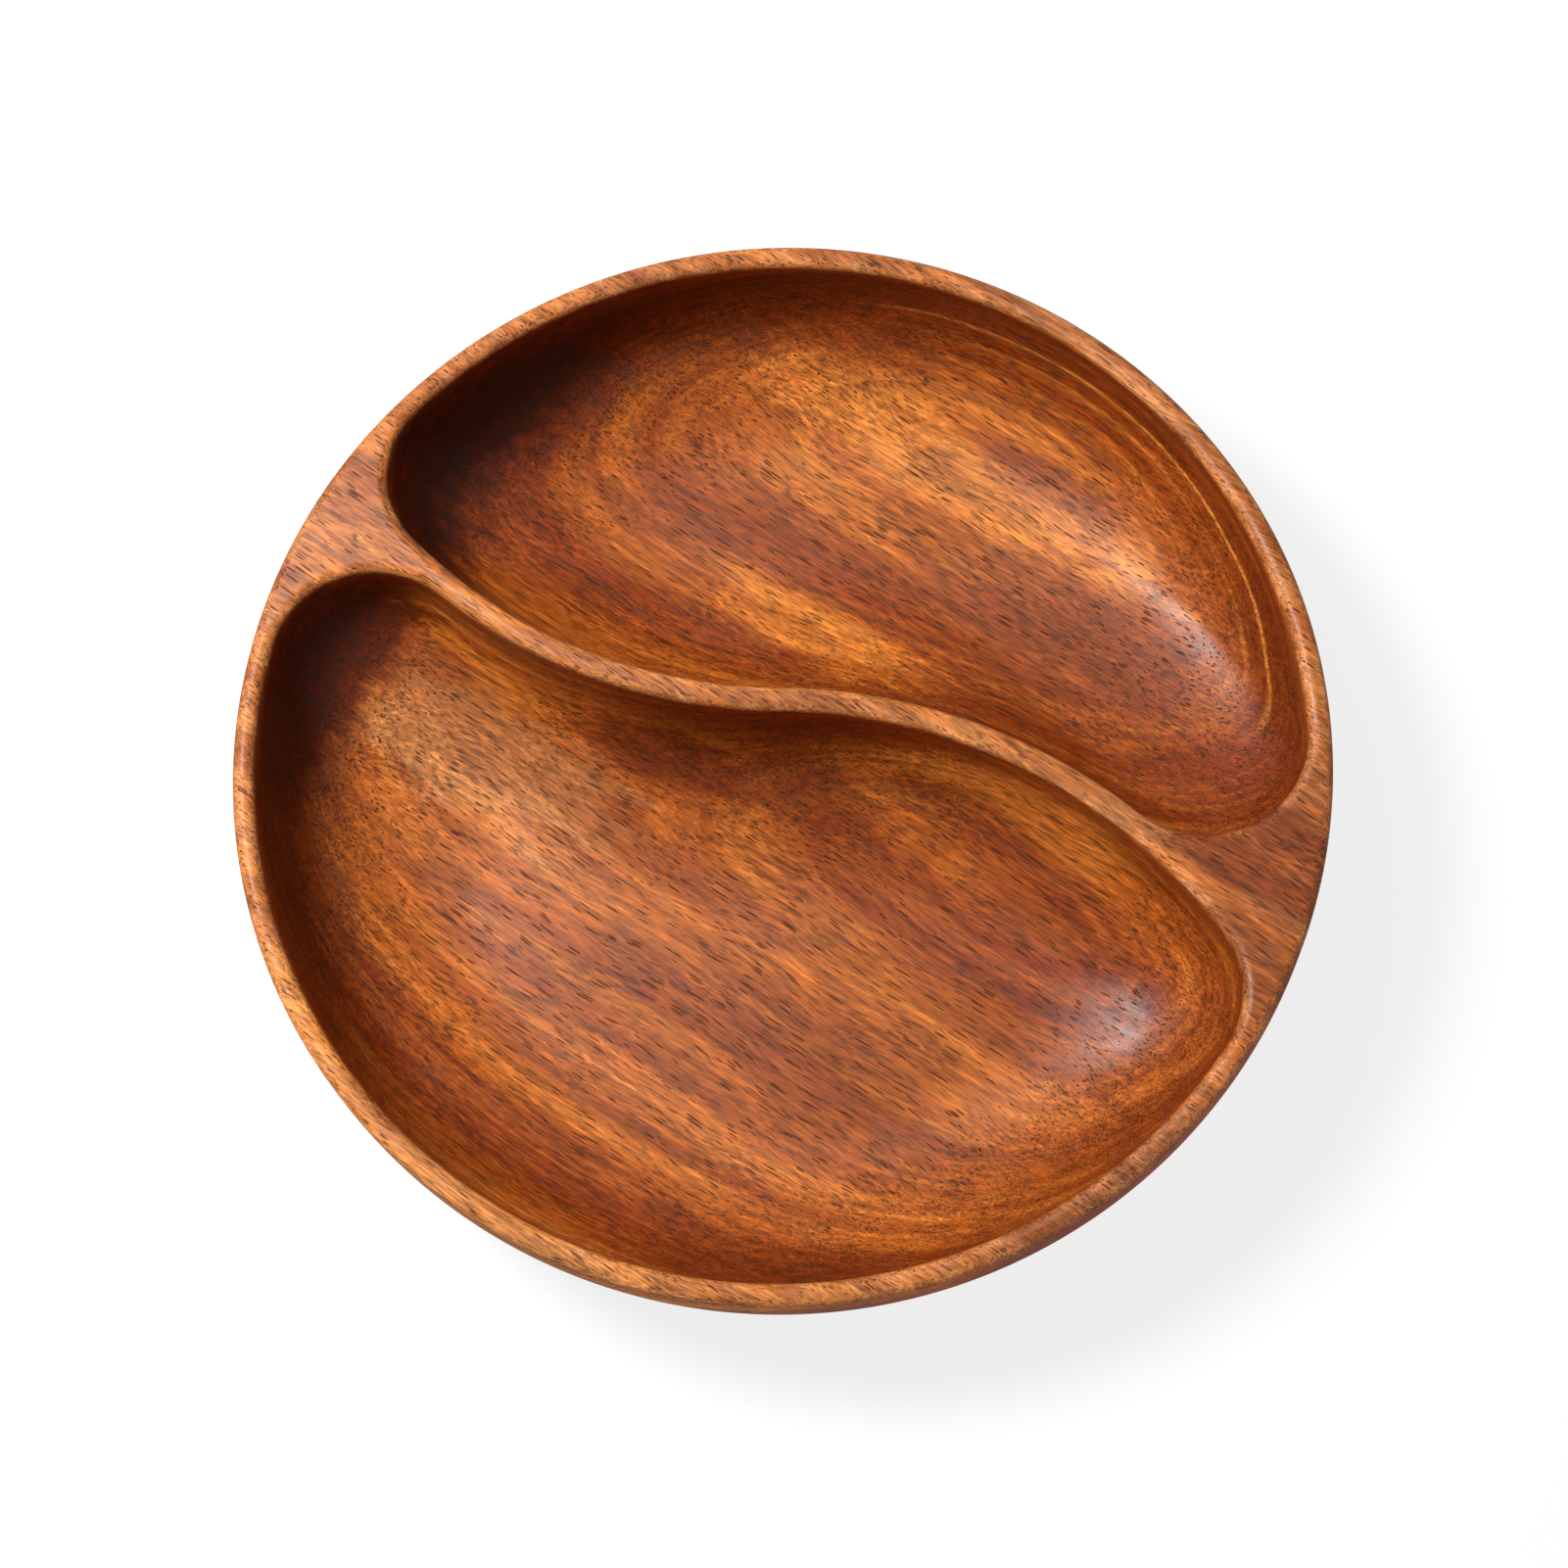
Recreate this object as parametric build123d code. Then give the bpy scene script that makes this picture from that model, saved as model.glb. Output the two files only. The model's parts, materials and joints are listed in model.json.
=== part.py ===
from build123d import *
import math
import os

# A round wooden bowl with two compartments, parted by a wavy divider.
# It is carved from a blank of solid boards glued edge to edge.
# Lengths are in millimetres, angles in degrees.
# The origin is the middle of the foot, +Z is up, and X runs along the grain of the boards.

# Bowl body
outer_radius = 110.0
bowl_height = 43.0
outer_upright = 9.0
rim_width = 4.7
edge_round = 2.3

# Compartments
floor_thickness = 9.0
wall_upright = 5.0
wall_run = 38.0
tight_corner_radius = 19.5
wide_corner_radius = 20.8
floor_corner_radius = 6.0

# Divider
divider_width = 5.1
divider_bend_radius = 111.0
divider_slope = 33.4
divider_middle_x = -6.5
divider_middle_y = 10.2

# Blank that the bowl is turned from
blank_trim = 5.0
seam_shift = 3.0

# One overrun lets every cutter pass clear of the wood
overrun = 5.0

# Plain numbers: shape of the hollow wall and its corners, and the narrow bands that it is made of
wall_fullness = 2.2
corner_fullness = 2.5
wall_band_count = 18

# Most of a wall that a round may take, and most of a compartment's half width that its walls may take
round_limit_share = 0.49
wall_limit_share = 0.84

# Sizes that follow from the ones above
inner_radius = outer_radius - rim_width
sweep_depth = bowl_height - floor_thickness - wall_upright
rim_round = min(edge_round, rim_width * round_limit_share, divider_width * round_limit_share)
hollow_bend_radius = divider_bend_radius - divider_width / 2
full_bend_radius = divider_bend_radius + divider_width / 2

# Centres of the divider's two bends: 1 is the one at the back, -1 the one at the front
slope = math.radians(divider_slope)
bend_centres = {
    side: (
        divider_middle_x - side * divider_bend_radius * math.sin(slope),
        divider_middle_y + side * divider_bend_radius * math.cos(slope),
    )
    for side in (1, -1)
}

# The walls run in until the floor is reached, and stop short of the middle of the narrower compartment
half_width = min(
    (inner_radius + hollow_bend_radius - math.hypot(x, y)) / 2 for x, y in bend_centres.values()
)
floor_inset = min(wall_run, half_width * wall_limit_share)
floor_corner = min(floor_corner_radius, (half_width - floor_inset) * wall_limit_share)

# The blank
board_names = ["front_board", "front_middle_board", "divider_board", "back_middle_board", "back_board"]
board_width = 2 * (outer_radius + blank_trim) / len(board_names)


def polar(centre, radius, angle):
    """Point at a radius and an angle from a centre."""
    return (centre[0] + radius * math.cos(angle), centre[1] + radius * math.sin(angle))


def direction(centre, point):
    """Angle of a point seen from a centre."""
    return math.atan2(point[1] - centre[1], point[0] - centre[0])


def circle_crossing(first_radius, centre, second_radius):
    """Crossing, on the left of the line to centre, of a circle about the origin with a second circle."""
    distance = math.hypot(centre[0], centre[1])
    along = (first_radius**2 - second_radius**2 + distance**2) / (2 * distance)
    aside = math.sqrt(first_radius**2 - along**2)
    ahead = (centre[0] / distance, centre[1] / distance)
    return (ahead[0] * along - ahead[1] * aside, ahead[1] * along + ahead[0] * aside)


def arc(centre, radius, start, end, height, clockwise=False):
    """Arc of a circle from the direction of start to the direction of end, at one height."""
    start_angle = direction(centre, start)
    sweep = (direction(centre, end) - start_angle) % math.tau
    if clockwise:
        sweep -= math.tau
    points = [polar(centre, radius, start_angle + sweep * part) for part in (0, 0.5, 1)]
    return ThreePointArc(*[(x, y, height) for x, y in points])


def corner_radius(top_radius, inset):
    """Plan radius of a compartment's corner, which tightens ever faster as the wall runs in to the floor."""
    return top_radius - (top_radius - floor_corner) * (inset / floor_inset) ** corner_fullness


def compartment_outline(side, inset, height):
    """Closed outline of a compartment, inset from its rim edge. Side is 1 at the back, -1 at the front."""
    near_centre = bend_centres[side]
    far_centre = bend_centres[-side]
    rim = inner_radius - inset
    hollow_bend = hollow_bend_radius - inset
    full_bend = full_bend_radius + inset
    tight = corner_radius(tight_corner_radius, inset)
    wide = corner_radius(wide_corner_radius, inset)
    tight_centre = circle_crossing(rim - tight, near_centre, hollow_bend - tight)
    wide_centre = circle_crossing(rim - wide, far_centre, full_bend + wide)
    axis = (0, 0)
    rim_start = polar(axis, rim, direction(axis, wide_centre))
    rim_end = polar(axis, rim, direction(axis, tight_centre))
    hollow_start = polar(near_centre, hollow_bend, direction(near_centre, tight_centre))
    turning = polar(near_centre, hollow_bend, direction(near_centre, far_centre))
    full_end = polar(far_centre, full_bend, direction(far_centre, wide_centre))
    return Wire(
        [
            arc(axis, rim, rim_start, rim_end, height),
            arc(tight_centre, tight, rim_end, hollow_start, height),
            arc(near_centre, hollow_bend, hollow_start, turning, height),
            arc(far_centre, full_bend, turning, full_end, height, clockwise=True),
            arc(wide_centre, wide, full_end, rim_start, height),
        ]
    )


def compartment(side):
    """Hollow of one compartment: an upright lip, then a wall that sweeps in to a flat floor."""
    lip_base = bowl_height - wall_upright
    lip = extrude(Face(compartment_outline(side, 0, lip_base)), wall_upright + overrun, dir=(0, 0, 1))
    sections = []
    for step in range(wall_band_count + 1):
        turn = math.pi / 2 * step / wall_band_count
        left_over = max(math.cos(turn), 0) ** (2 / wall_fullness)
        inset = floor_inset * (1 - left_over)
        drop = sweep_depth * math.sin(turn) ** (2 / wall_fullness)
        sections.append(compartment_outline(side, inset, lip_base - drop))
    return lip, Solid.make_loft(sections, ruled=True)


def turned_body():
    """Outside of the bowl: flat foot, wall that sweeps up from it, upright band and rounded rim."""
    sweep_drop = bowl_height - outer_upright
    foot_radius = outer_radius - sweep_drop
    foot = Line((0, 0), (foot_radius, 0))
    wall = CenterArc((foot_radius, sweep_drop), sweep_drop, -90, 90)
    band = Line((outer_radius, sweep_drop), (outer_radius, bowl_height - rim_round))
    lip = CenterArc((outer_radius - rim_round, bowl_height - rim_round), rim_round, 0, 90)
    top = Line((outer_radius - rim_round, bowl_height), (0, bowl_height))
    axis_line = Line((0, bowl_height), (0, 0))
    profile = make_face(Curve() + [foot, wall, band, lip, top, axis_line])
    return revolve(Plane.XZ * profile, Axis.Z)


def carved_bowl():
    """Whole bowl in one piece, with both compartments cut and their rim edges rounded."""
    bowl = turned_body()
    for side in (1, -1):
        lip, hollow = compartment(side)
        bowl = bowl - lip - hollow
    top_face = bowl.faces().sort_by(Axis.Z)[-1]
    edges = [edge for wire in top_face.inner_wires() for edge in wire.edges()]
    return fillet(edges, rim_round)


def seams():
    """Places of the glue lines across the grain, and the outsides of the first and last board."""
    seam_count = len(board_names) - 1
    inner = [(place - (seam_count - 1) / 2) * board_width + seam_shift for place in range(seam_count)]
    reach = outer_radius + overrun
    return [-reach] + inner + [reach]


def board(bowl, front, back):
    """Part of the bowl that lies in one board of the blank."""
    reach = outer_radius + overrun
    slab = Pos(0, (front + back) / 2, bowl_height / 2) * Box(2 * reach, back - front, bowl_height + overrun)
    return bowl & slab


os.makedirs("parts", exist_ok=True)
bowl = carved_bowl()
edges_of_boards = seams()
for name, front, back in zip(board_names, edges_of_boards, edges_of_boards[1:]):
    export_step(board(bowl, front, back), f"parts/{name}.step")
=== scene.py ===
"""Looks of a round wooden bowl with two compartments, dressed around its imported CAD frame.

Lengths are metres in the CAD model's own frame: the origin is the middle of the foot, +Z is up, and X runs
along the grain. The carved body is one closed surface, worked out with numpy, and each board of the blank is
the stretch of it between two glue lines. The wood's pattern is worked out in millimetres.
"""

import json
import logging
import math
from dataclasses import dataclass, field
from enum import Enum

import bmesh
import bpy
import numpy as np
from mathutils import Matrix, Vector
from mathutils.geometry import delaunay_2d_cdt

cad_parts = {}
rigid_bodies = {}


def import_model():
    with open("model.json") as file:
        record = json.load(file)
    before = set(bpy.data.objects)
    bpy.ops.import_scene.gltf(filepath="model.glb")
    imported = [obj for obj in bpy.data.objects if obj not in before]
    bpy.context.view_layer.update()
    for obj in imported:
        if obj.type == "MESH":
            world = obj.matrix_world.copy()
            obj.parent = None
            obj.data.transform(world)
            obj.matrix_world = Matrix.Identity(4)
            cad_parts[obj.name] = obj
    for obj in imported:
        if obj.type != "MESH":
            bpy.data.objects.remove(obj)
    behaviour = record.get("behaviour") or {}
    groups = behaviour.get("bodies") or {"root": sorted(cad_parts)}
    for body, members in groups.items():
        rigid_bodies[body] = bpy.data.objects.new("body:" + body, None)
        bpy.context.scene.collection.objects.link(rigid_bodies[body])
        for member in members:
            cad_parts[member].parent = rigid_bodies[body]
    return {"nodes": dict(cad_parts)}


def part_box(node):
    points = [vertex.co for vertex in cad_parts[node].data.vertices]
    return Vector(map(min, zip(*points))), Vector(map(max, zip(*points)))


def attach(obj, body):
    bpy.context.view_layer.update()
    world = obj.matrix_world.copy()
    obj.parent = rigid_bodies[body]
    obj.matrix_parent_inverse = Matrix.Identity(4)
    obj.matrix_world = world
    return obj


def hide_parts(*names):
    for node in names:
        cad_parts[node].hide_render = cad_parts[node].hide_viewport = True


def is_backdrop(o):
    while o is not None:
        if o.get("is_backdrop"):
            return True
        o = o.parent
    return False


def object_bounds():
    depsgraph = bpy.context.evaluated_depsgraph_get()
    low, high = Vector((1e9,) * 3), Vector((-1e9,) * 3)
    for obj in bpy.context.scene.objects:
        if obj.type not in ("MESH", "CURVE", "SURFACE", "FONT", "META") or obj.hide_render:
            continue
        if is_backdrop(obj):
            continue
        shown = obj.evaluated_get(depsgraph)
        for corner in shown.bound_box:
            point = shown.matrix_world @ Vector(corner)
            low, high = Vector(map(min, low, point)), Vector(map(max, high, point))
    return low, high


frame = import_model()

LOG = logging.getLogger("wooden_bowl")
MM = 0.001
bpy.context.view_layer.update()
SOFT_NORMAL = "soft_normal"
# Edge exposure that lightens the colour, as wear and as painted sheen.
EDGE_WEAR_AND_SHEEN = "edge_wear_and_sheen"
END_GRAIN = "end_grain"
OUTER_FACE = "outer_face"
TINY = 1e-9
NOISE_LOW, NOISE_HIGH = 0.3, 0.7


class Side(Enum):
    """The two compartments, as the sign of the way from the divider to each."""

    BACK = 1
    FRONT = -1


def polar(centre: np.ndarray, radius: np.ndarray, angle: np.ndarray) -> np.ndarray:
    """Points at radii and angles from centres: centre plus radius times (cos, sin).

    Args:
        centre: Array whose last axis is x and y.
        radius: Radii, one for each centre.
        angle: Angles in radians, with the shape that the result has.

    Returns:
        Array with x and y on its last axis.
    """
    turned = np.stack([np.cos(angle), np.sin(angle)], axis=-1)
    return centre + radius[..., None] * turned


def heading(centre: np.ndarray, point: np.ndarray) -> np.ndarray:
    """Angles of points seen from centres.

    Args:
        centre: Array whose last axis is x and y.
        point: Array of the same kind.

    Returns:
        Angles in radians.
    """
    away = point - centre
    return np.arctan2(away[..., 1], away[..., 0])


@dataclass(frozen=True)
class BowlSizes:
    """Sizes of the carved bowl, equal to the CAD model's. Lengths are in metres."""

    outer_radius: float
    height: float
    outer_upright: float = 9.0 * MM
    rim_width: float = 4.7 * MM
    edge_round: float = 2.3 * MM
    floor_thickness: float = 9.0 * MM
    wall_upright: float = 5.0 * MM
    wall_run: float = 38.0 * MM
    wall_fullness: float = 2.2
    tight_corner: float = 19.5 * MM
    wide_corner: float = 20.8 * MM
    floor_corner: float = 6.0 * MM
    corner_fullness: float = 2.5
    divider_width: float = 5.1 * MM
    divider_bend: float = 111.0 * MM
    divider_slope: float = math.radians(33.4)
    divider_middle_x: float = -6.5 * MM
    divider_middle_y: float = 10.2 * MM

    @classmethod
    def from_frame(cls) -> "BowlSizes":
        """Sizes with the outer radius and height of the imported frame, so that the bowl fits inside it."""
        low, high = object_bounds()
        return cls(outer_radius=min(-low[0], -low[1], high[0], high[1]), height=high[2] - low[2])

    @property
    def inner_radius(self) -> float:
        """Radius of the compartments' outer wall at the rim."""
        return self.outer_radius - self.rim_width


@dataclass(frozen=True)
class HandFinish:
    """Unevenness that sanding by hand leaves on the hollows: depths and wavelengths in metres."""

    depth: float = 0.10 * MM
    longest: float = 60.0 * MM
    shortest: float = 22.0 * MM
    waves: int = 9
    seed: int = 7


@dataclass(frozen=True)
class MeshDensity:
    """How many points the surfaces have."""

    rim_arc: int = 400
    corner_arc: int = 60
    bend_arc: int = 150
    round_rows: int = 8
    lip_rows: int = 2
    sweep_rows: int = 44
    floor_rows: int = 10
    turned_columns: int = 900
    turned_rows: int = 34
    foot_rows: int = 12


@dataclass
class CarvedBody:
    """The bowl's whole surface, before it is parted into boards."""

    sizes: BowlSizes
    finish: HandFinish = field(default_factory=HandFinish)
    density: MeshDensity = field(default_factory=MeshDensity)
    margin: float = 0.03 * MM
    weld: float = 0.002 * MM
    same_point: float = 0.000002 * MM
    # Exposure on the crowns, which lightens them as wear and as painted sheen.
    crown_wear_and_sheen: float = 0.32

    def crossing(self, first: np.ndarray, centre: np.ndarray, second: np.ndarray) -> np.ndarray:
        """Crossing of circles about the origin with circles about a centre, on the left of the way there.

        Args:
            first: Radii of the circles about the origin.
            centre: The other circles' centre, as x and y.
            second: Radii of the other circles.

        Returns:
            One point for each pair of circles.
        """
        distance = np.hypot(*centre)
        ahead = centre / distance
        along = (first**2 - second**2 + distance**2) / (2 * distance)
        aside = np.sqrt(first**2 - along**2)
        left = np.array([-ahead[1], ahead[0]])
        return along[:, None] * ahead + aside[:, None] * left

    def corner(self, top: float, inset: np.ndarray) -> np.ndarray:
        """Corner radius at each inset.

        Inside the edge it is top - (top - floor corner) * (inset / run) ^ fullness. Outside the edge, on the
        rim, it is a true offset.

        Args:
            top: Corner radius at the compartment's edge.
            inset: Distances in from the edge; negative is out on to the rim.

        Returns:
            Corner radii.
        """
        inward = np.clip(inset / self.sizes.wall_run, 0, 1) ** self.sizes.corner_fullness
        inside = top - (top - self.sizes.floor_corner) * inward
        return np.where(inset > 0, inside, top - inset)

    def outline(self, side: Side, inset: np.ndarray) -> np.ndarray:
        """Closed outlines of a compartment, one at each inset from its edge.

        Each is five tangent arcs: the rim's own circle, a tight corner, the divider's hollow bend, its full
        bend, and a wide corner.

        Args:
            side: Which compartment.
            inset: Distances in from the edge.

        Returns:
            Array of inset by point by x and y.
        """
        s = self.sizes
        d = self.density
        middle = np.array([s.divider_middle_x, s.divider_middle_y])
        lean = side.value * np.array([-math.sin(s.divider_slope), math.cos(s.divider_slope)])
        near = middle + lean * s.divider_bend
        far = middle - lean * s.divider_bend
        rim = s.inner_radius - inset
        hollow = s.divider_bend - s.divider_width / 2 - inset
        full = s.divider_bend + s.divider_width / 2 + inset
        tight = self.corner(s.tight_corner, inset)
        wide = self.corner(s.wide_corner, inset)
        tight_centre = self.crossing(rim - tight, near, hollow - tight)
        wide_centre = self.crossing(rim - wide, far, full + wide)
        axis = np.zeros(2)
        turning = heading(near, middle)
        marks = [
            (axis, rim, heading(axis, wide_centre), heading(axis, tight_centre), 1, d.rim_arc),
            (tight_centre, tight, heading(axis, tight_centre), heading(near, tight_centre), 1, d.corner_arc),
            (near, hollow, heading(near, tight_centre), turning, 1, d.bend_arc),
            (far, full, turning + math.pi, heading(far, wide_centre), -1, d.bend_arc),
            (wide_centre, wide, heading(wide_centre, far), heading(axis, wide_centre), 1, d.corner_arc),
        ]
        arcs = []
        for centre, radius, start, end, way, count in marks:
            start = np.broadcast_to(start, inset.shape)
            sweep = way * ((way * (end - start)) % math.tau)
            share = np.arange(count) / count
            angle = start[:, None] + sweep[:, None] * share
            centre = np.broadcast_to(centre, inset.shape + (2,))
            arcs.append(polar(centre[:, None], radius[:, None], angle))
        return np.concatenate(arcs, axis=1)

    def wall_profile(self) -> tuple[np.ndarray, np.ndarray]:
        """Profile from the flat top, over the rounded edge and down the wall to the floor.

        The edge is a quarter circle, the lip is upright, and the wall is a quarter of a superellipse: the
        inset is run times (1 - cos^(2/n)), and the drop is depth times sin^(2/n).

        Returns:
            Insets from the edge, and heights.
        """
        s = self.sizes
        d = self.density
        edge = np.linspace(0, math.pi / 2, d.round_rows + 1)
        lip = np.linspace(s.edge_round, s.wall_upright, d.lip_rows + 1)[1:]
        turn = np.linspace(0, math.pi / 2, d.sweep_rows + 1)[1:]
        power = 2 / s.wall_fullness
        swept = s.wall_run * (1 - np.clip(np.cos(turn), 0, 1) ** power)
        depth = s.height - s.floor_thickness - s.wall_upright
        drop = depth * np.sin(turn) ** power
        inset = np.concatenate(
            [[-s.edge_round - self.margin], -s.edge_round * (1 - np.sin(edge)), 0 * lip, swept]
        )
        height = np.concatenate([[0], -s.edge_round * (1 - np.cos(edge)), -lip, -s.wall_upright - drop])
        return inset, s.height + height

    def unevenness(self, points: np.ndarray) -> np.ndarray:
        """How much deeper than the plain shape the sanded surface lies, at points on the hollows.

        It is the mean of a few sines with seeded directions, wavelengths and phases, shifted to start at
        zero, and it fades in below the lip.

        Args:
            points: Array with x, y and z on its last axis.

        Returns:
            Depths, never negative.
        """
        f = self.finish
        chance = np.random.default_rng(f.seed)
        way = chance.uniform(0, math.tau, f.waves)
        pace = math.tau / chance.uniform(f.shortest, f.longest, f.waves)
        phase = chance.uniform(0, math.tau, f.waves)
        along = points[..., :1] * np.cos(way) + points[..., 1:2] * np.sin(way)
        wave = np.sin(along * pace + phase).mean(axis=-1)
        lip = self.sizes.height - self.sizes.wall_upright
        fade = np.clip((lip - points[..., 2]) / self.sizes.wall_upright, 0, 1)
        return f.depth * (1 + wave) * fade * fade * (3 - 2 * fade)

    def hollow(self, side: Side) -> np.ndarray:
        """Surface of one compartment, from the flat top to the middle of its floor.

        The wall is the outlines at the profile's insets, and the floor shrinks the last outline to its
        middle.

        Args:
            side: Which compartment.

        Returns:
            Grid of row by column by x, y and z.
        """
        inset, height = self.wall_profile()
        plan = self.outline(side, inset)
        tall = np.broadcast_to(height[:, None, None], plan.shape[:2] + (1,))
        wall = np.concatenate([plan, tall], axis=2)
        share = np.linspace(0, 1, self.density.floor_rows + 1)[1:, None, None]
        last = wall[-1]
        floor = last + (last.mean(axis=0) - last) * share
        grid = np.concatenate([wall, floor])
        grid[..., 2] -= self.unevenness(grid)
        return grid

    def outside(self) -> np.ndarray:
        """Turned surface of the outside: rounded rim, upright band, sweep to the foot, and the foot.

        Returns:
            Grid of row by column by x, y and z.
        """
        s = self.sizes
        d = self.density
        edge = np.linspace(0, math.pi / 2, d.round_rows + 1)
        band = s.height - s.outer_upright
        turn = np.linspace(0, math.pi / 2, d.turned_rows + 1)
        foot = np.linspace(1, 0, d.foot_rows + 1)[1:]
        top = s.outer_radius - s.edge_round
        radius = np.concatenate(
            [
                [top - self.margin],
                top + s.edge_round * np.sin(edge),
                s.outer_radius - band * (1 - np.cos(turn)),
                (s.outer_radius - band) * foot,
            ]
        )
        height = np.concatenate(
            [[s.height], s.height - s.edge_round * (1 - np.cos(edge)), band * (1 - np.sin(turn)), 0 * foot]
        )
        angle = np.linspace(0, math.tau, d.turned_columns, endpoint=False)
        plan = polar(np.zeros(2), np.broadcast_to(radius[:, None], (len(radius), len(angle))), angle[None, :])
        tall = np.broadcast_to(height[:, None, None], plan.shape[:2] + (1,))
        return np.concatenate([plan, tall], axis=2)

    def top(self, loops: list[np.ndarray]) -> tuple[np.ndarray, list[list[int]]]:
        """Flat top between the rim's circle and both compartments.

        Args:
            loops: Closed loops of x, y and z, the outermost first.

        Returns:
            Points and triangles.
        """
        points = np.concatenate(loops)
        edges = []
        start = 0
        for loop in loops:
            number = np.arange(len(loop))
            edges.append(np.stack([number, (number + 1) % len(loop)], axis=1) + start)
            start += len(loop)
        outlines = [edge[:, 0].tolist() for edge in edges]
        flat = [Vector(point) for point in points[:, :2].tolist()]
        made = delaunay_2d_cdt(flat, np.concatenate(edges).tolist(), outlines, 2, self.same_point)
        plan = np.array([list(point) for point in made[0]])
        tall = np.full((len(plan), 1), self.sizes.height)
        return np.concatenate([plan, tall], axis=1), made[2]

    def mark_surface(self, mesh: bpy.types.Mesh) -> None:
        """Stores the surface's normals, edge exposure, end grain and outer face, for the boards cut from it.

        The exposure is 4 z (1 - z) for the normal's z on the topmost band, with a share of the cube of z that
        stands for the crown, and fades out down the walls; the colour turns lighter with it, as wear and as
        painted sheen. The end grain is the square of the normal's x, because the fibres run along X. The
        outer face is where the surface faces away from the axis past the hollows, or down.

        Args:
            mesh: The whole body.
        """
        count = len(mesh.vertices)
        normal = np.empty(count * 3)
        mesh.vertices.foreach_get("normal", normal)
        place = np.empty(count * 3)
        mesh.vertices.foreach_get("co", place)
        facing = normal.reshape(-1, 3)
        up = facing[:, 2].clip(0, 1)
        below = self.sizes.height - place.reshape(-1, 3)[:, 2]
        near = np.clip(1 - below / (2 * self.sizes.edge_round), 0, 1)
        kept = mesh.attributes.new(SOFT_NORMAL, "FLOAT_VECTOR", "POINT")
        kept.data.foreach_set("vector", normal)
        # Lighter edges and crowns: wear and painted sheen.
        edge = mesh.attributes.new(EDGE_WEAR_AND_SHEEN, "FLOAT", "POINT")
        edge.data.foreach_set("value", (4 * up * (1 - up) + self.crown_wear_and_sheen * up**3) * near)
        ends = mesh.attributes.new(END_GRAIN, "FLOAT", "POINT")
        ends.data.foreach_set("value", facing[:, 0] ** 2)
        plan = place.reshape(-1, 3)[:, :2]
        radius = np.linalg.norm(plan, axis=1).clip(TINY)
        outward = (facing[:, :2] * plan).sum(axis=1) / radius * (radius > self.sizes.inner_radius)
        outer = mesh.attributes.new(OUTER_FACE, "FLOAT", "POINT")
        outer.data.foreach_set("value", np.maximum(outward, -facing[:, 2]).clip(0, 1))

    def mesh(self) -> bpy.types.Mesh:
        """Closes the hollows, the outside and the flat top into one mesh, with its normals outward.

        Returns:
            Mesh of the whole body.
        """
        grids = [self.hollow(Side.BACK), self.hollow(Side.FRONT), self.outside()]
        points = []
        faces = []
        start = 0
        for grid in grids:
            rows, columns = grid.shape[:2]
            number = np.arange(rows * columns).reshape(rows, columns)
            after = np.roll(number, -1, axis=1)
            quads = np.stack([number[:-1], after[:-1], after[1:], number[1:]], axis=-1).reshape(-1, 4)
            points.append(grid.reshape(-1, 3))
            faces += (quads + start).tolist()
            start += rows * columns
        plan, triangles = self.top([grids[2][0], grids[0][0], grids[1][0]])
        points.append(plan)
        faces += [[corner + start for corner in face] for face in triangles]
        mesh = bpy.data.meshes.new("carved_body")
        mesh.from_pydata(np.concatenate(points).tolist(), [], faces)
        sculpt = bmesh.new()
        sculpt.from_mesh(mesh)
        bmesh.ops.remove_doubles(sculpt, verts=sculpt.verts, dist=self.weld)
        bmesh.ops.recalc_face_normals(sculpt, faces=sculpt.faces)
        sculpt.to_mesh(mesh)
        sculpt.free()
        self.mark_surface(mesh)
        return mesh


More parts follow.
